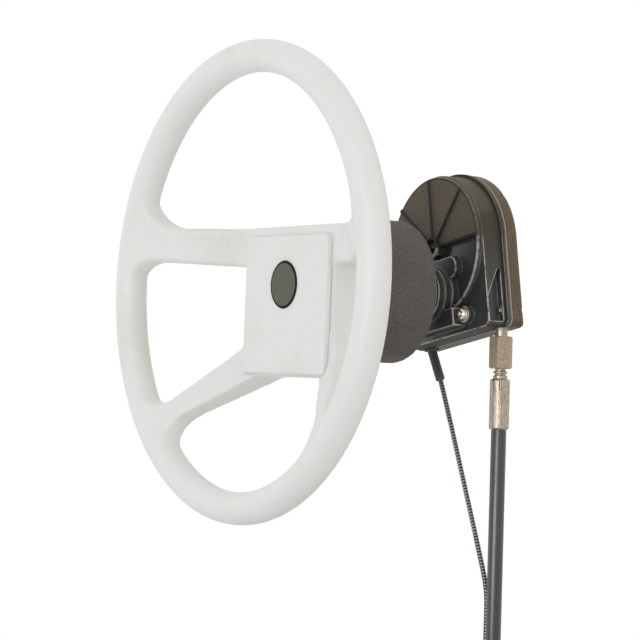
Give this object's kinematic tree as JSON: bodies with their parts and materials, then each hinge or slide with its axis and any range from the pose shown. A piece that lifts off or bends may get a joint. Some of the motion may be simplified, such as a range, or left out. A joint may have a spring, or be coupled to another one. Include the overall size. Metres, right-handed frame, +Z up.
{
  "type": "boat steering helm",
  "caption": "Rotary boat steering helm with a dished white wheel, dash bezel, ribbed casing over a geared cable drum, and its push-pull cable with a sliding end ram.",
  "frame": {"origin": "on the shaft's line, in the plane of the dash's front face", "axes": "+Y along the shaft from the driver into the dash, +X to the driver's right, +Z up"},
  "size_m": [0.5228, 0.2129, 0.5023],
  "materials": {
    "white_moulding": "satin, moulded",
    "badge_grey": "smooth",
    "bare_steel": "machined",
    "bronze": "smooth",
    "gear_steel": "hobbed",
    "bezel_grey": "fine grain",
    "dark_casting": "satin",
    "brown_cover": "satin",
    "black_rubber": "matte",
    "gasket_tan": "matte",
    "bright_screw": "plated",
    "bush_plastic": "smooth",
    "drum_plastic": "moulded",
    "wound_wire": "wound",
    "nickel": "satin plated",
    "black_jacket": "smooth",
    "ram_steel": "polished"
  },
  "bodies": {
    "helm": {"dash_bezel": "bezel_grey", "bezel_plate": "bezel_grey", "neck_nut": "bare_steel", "front_casing": "dark_casting", "casing_gasket": "gasket_tan", "rear_cover": "brown_cover", "shoulder_screws": "bright_screw", "shoulder_washers": "bright_screw", "cover_screws": "bare_steel", "shaft_seal": "black_rubber", "front_bush": "bush_plastic", "drum_axle": "bare_steel", "drum_washers": "bronze", "inner_core": "wound_wire", "outlet_socket": "nickel", "outlet_nut": "nickel", "outlet_collar": "nickel", "cable_ferrule": "nickel", "cable_jacket": "black_jacket", "cable_coil": "black_jacket", "coil_tie": "drum_plastic", "end_ferrule": "nickel", "end_nut": "nickel", "guide_tube": "ram_steel", "outlet_stub": "drum_plastic", "spent_core": "wound_wire", "core_tip": "nickel"},
    "wheel": {"steering_wheel": "white_moulding", "hub_pad": "white_moulding", "centre_badge": "badge_grey", "hub_insert": "bare_steel", "wheel_washer": "bare_steel", "wheel_nut": "bare_steel", "drive_shaft": "bare_steel", "shaft_key": "bare_steel", "thrust_washer": "bronze", "drive_pinion": "gear_steel", "shaft_clip": "bare_steel"},
    "drum": {"cable_drum": "drum_plastic", "drum_gear": "gear_steel", "drum_bush": "bush_plastic", "gear_rivets": "bare_steel"},
    "ram": {"output_ram": "ram_steel"}
  },
  "joints": [
    {"name": "wheel_turn", "type": "hinge", "parent": "helm", "child": "wheel", "pos_m": [0, 0, 0], "axis": [0, 1, 0], "range_deg": [-1025, 115]},
    {"name": "drum_turn", "type": "hinge", "parent": "helm", "child": "drum", "pos_m": [0, 0.0615, 0.035], "axis": [0, 1, 0], "range_deg": [-31.5, 280]},
    {"name": "ram_slide", "type": "slide", "parent": "helm", "child": "ram", "axis": [1, 0, 0], "range_m": [-0.0231, 0.2052]}
  ],
  "couplings": [
    {"joint": "drum_turn", "follows": "wheel_turn", "ratio": -0.27273},
    {"joint": "ram_slide", "follows": "wheel_turn", "m_per_rad": -0.011455}
  ]
}
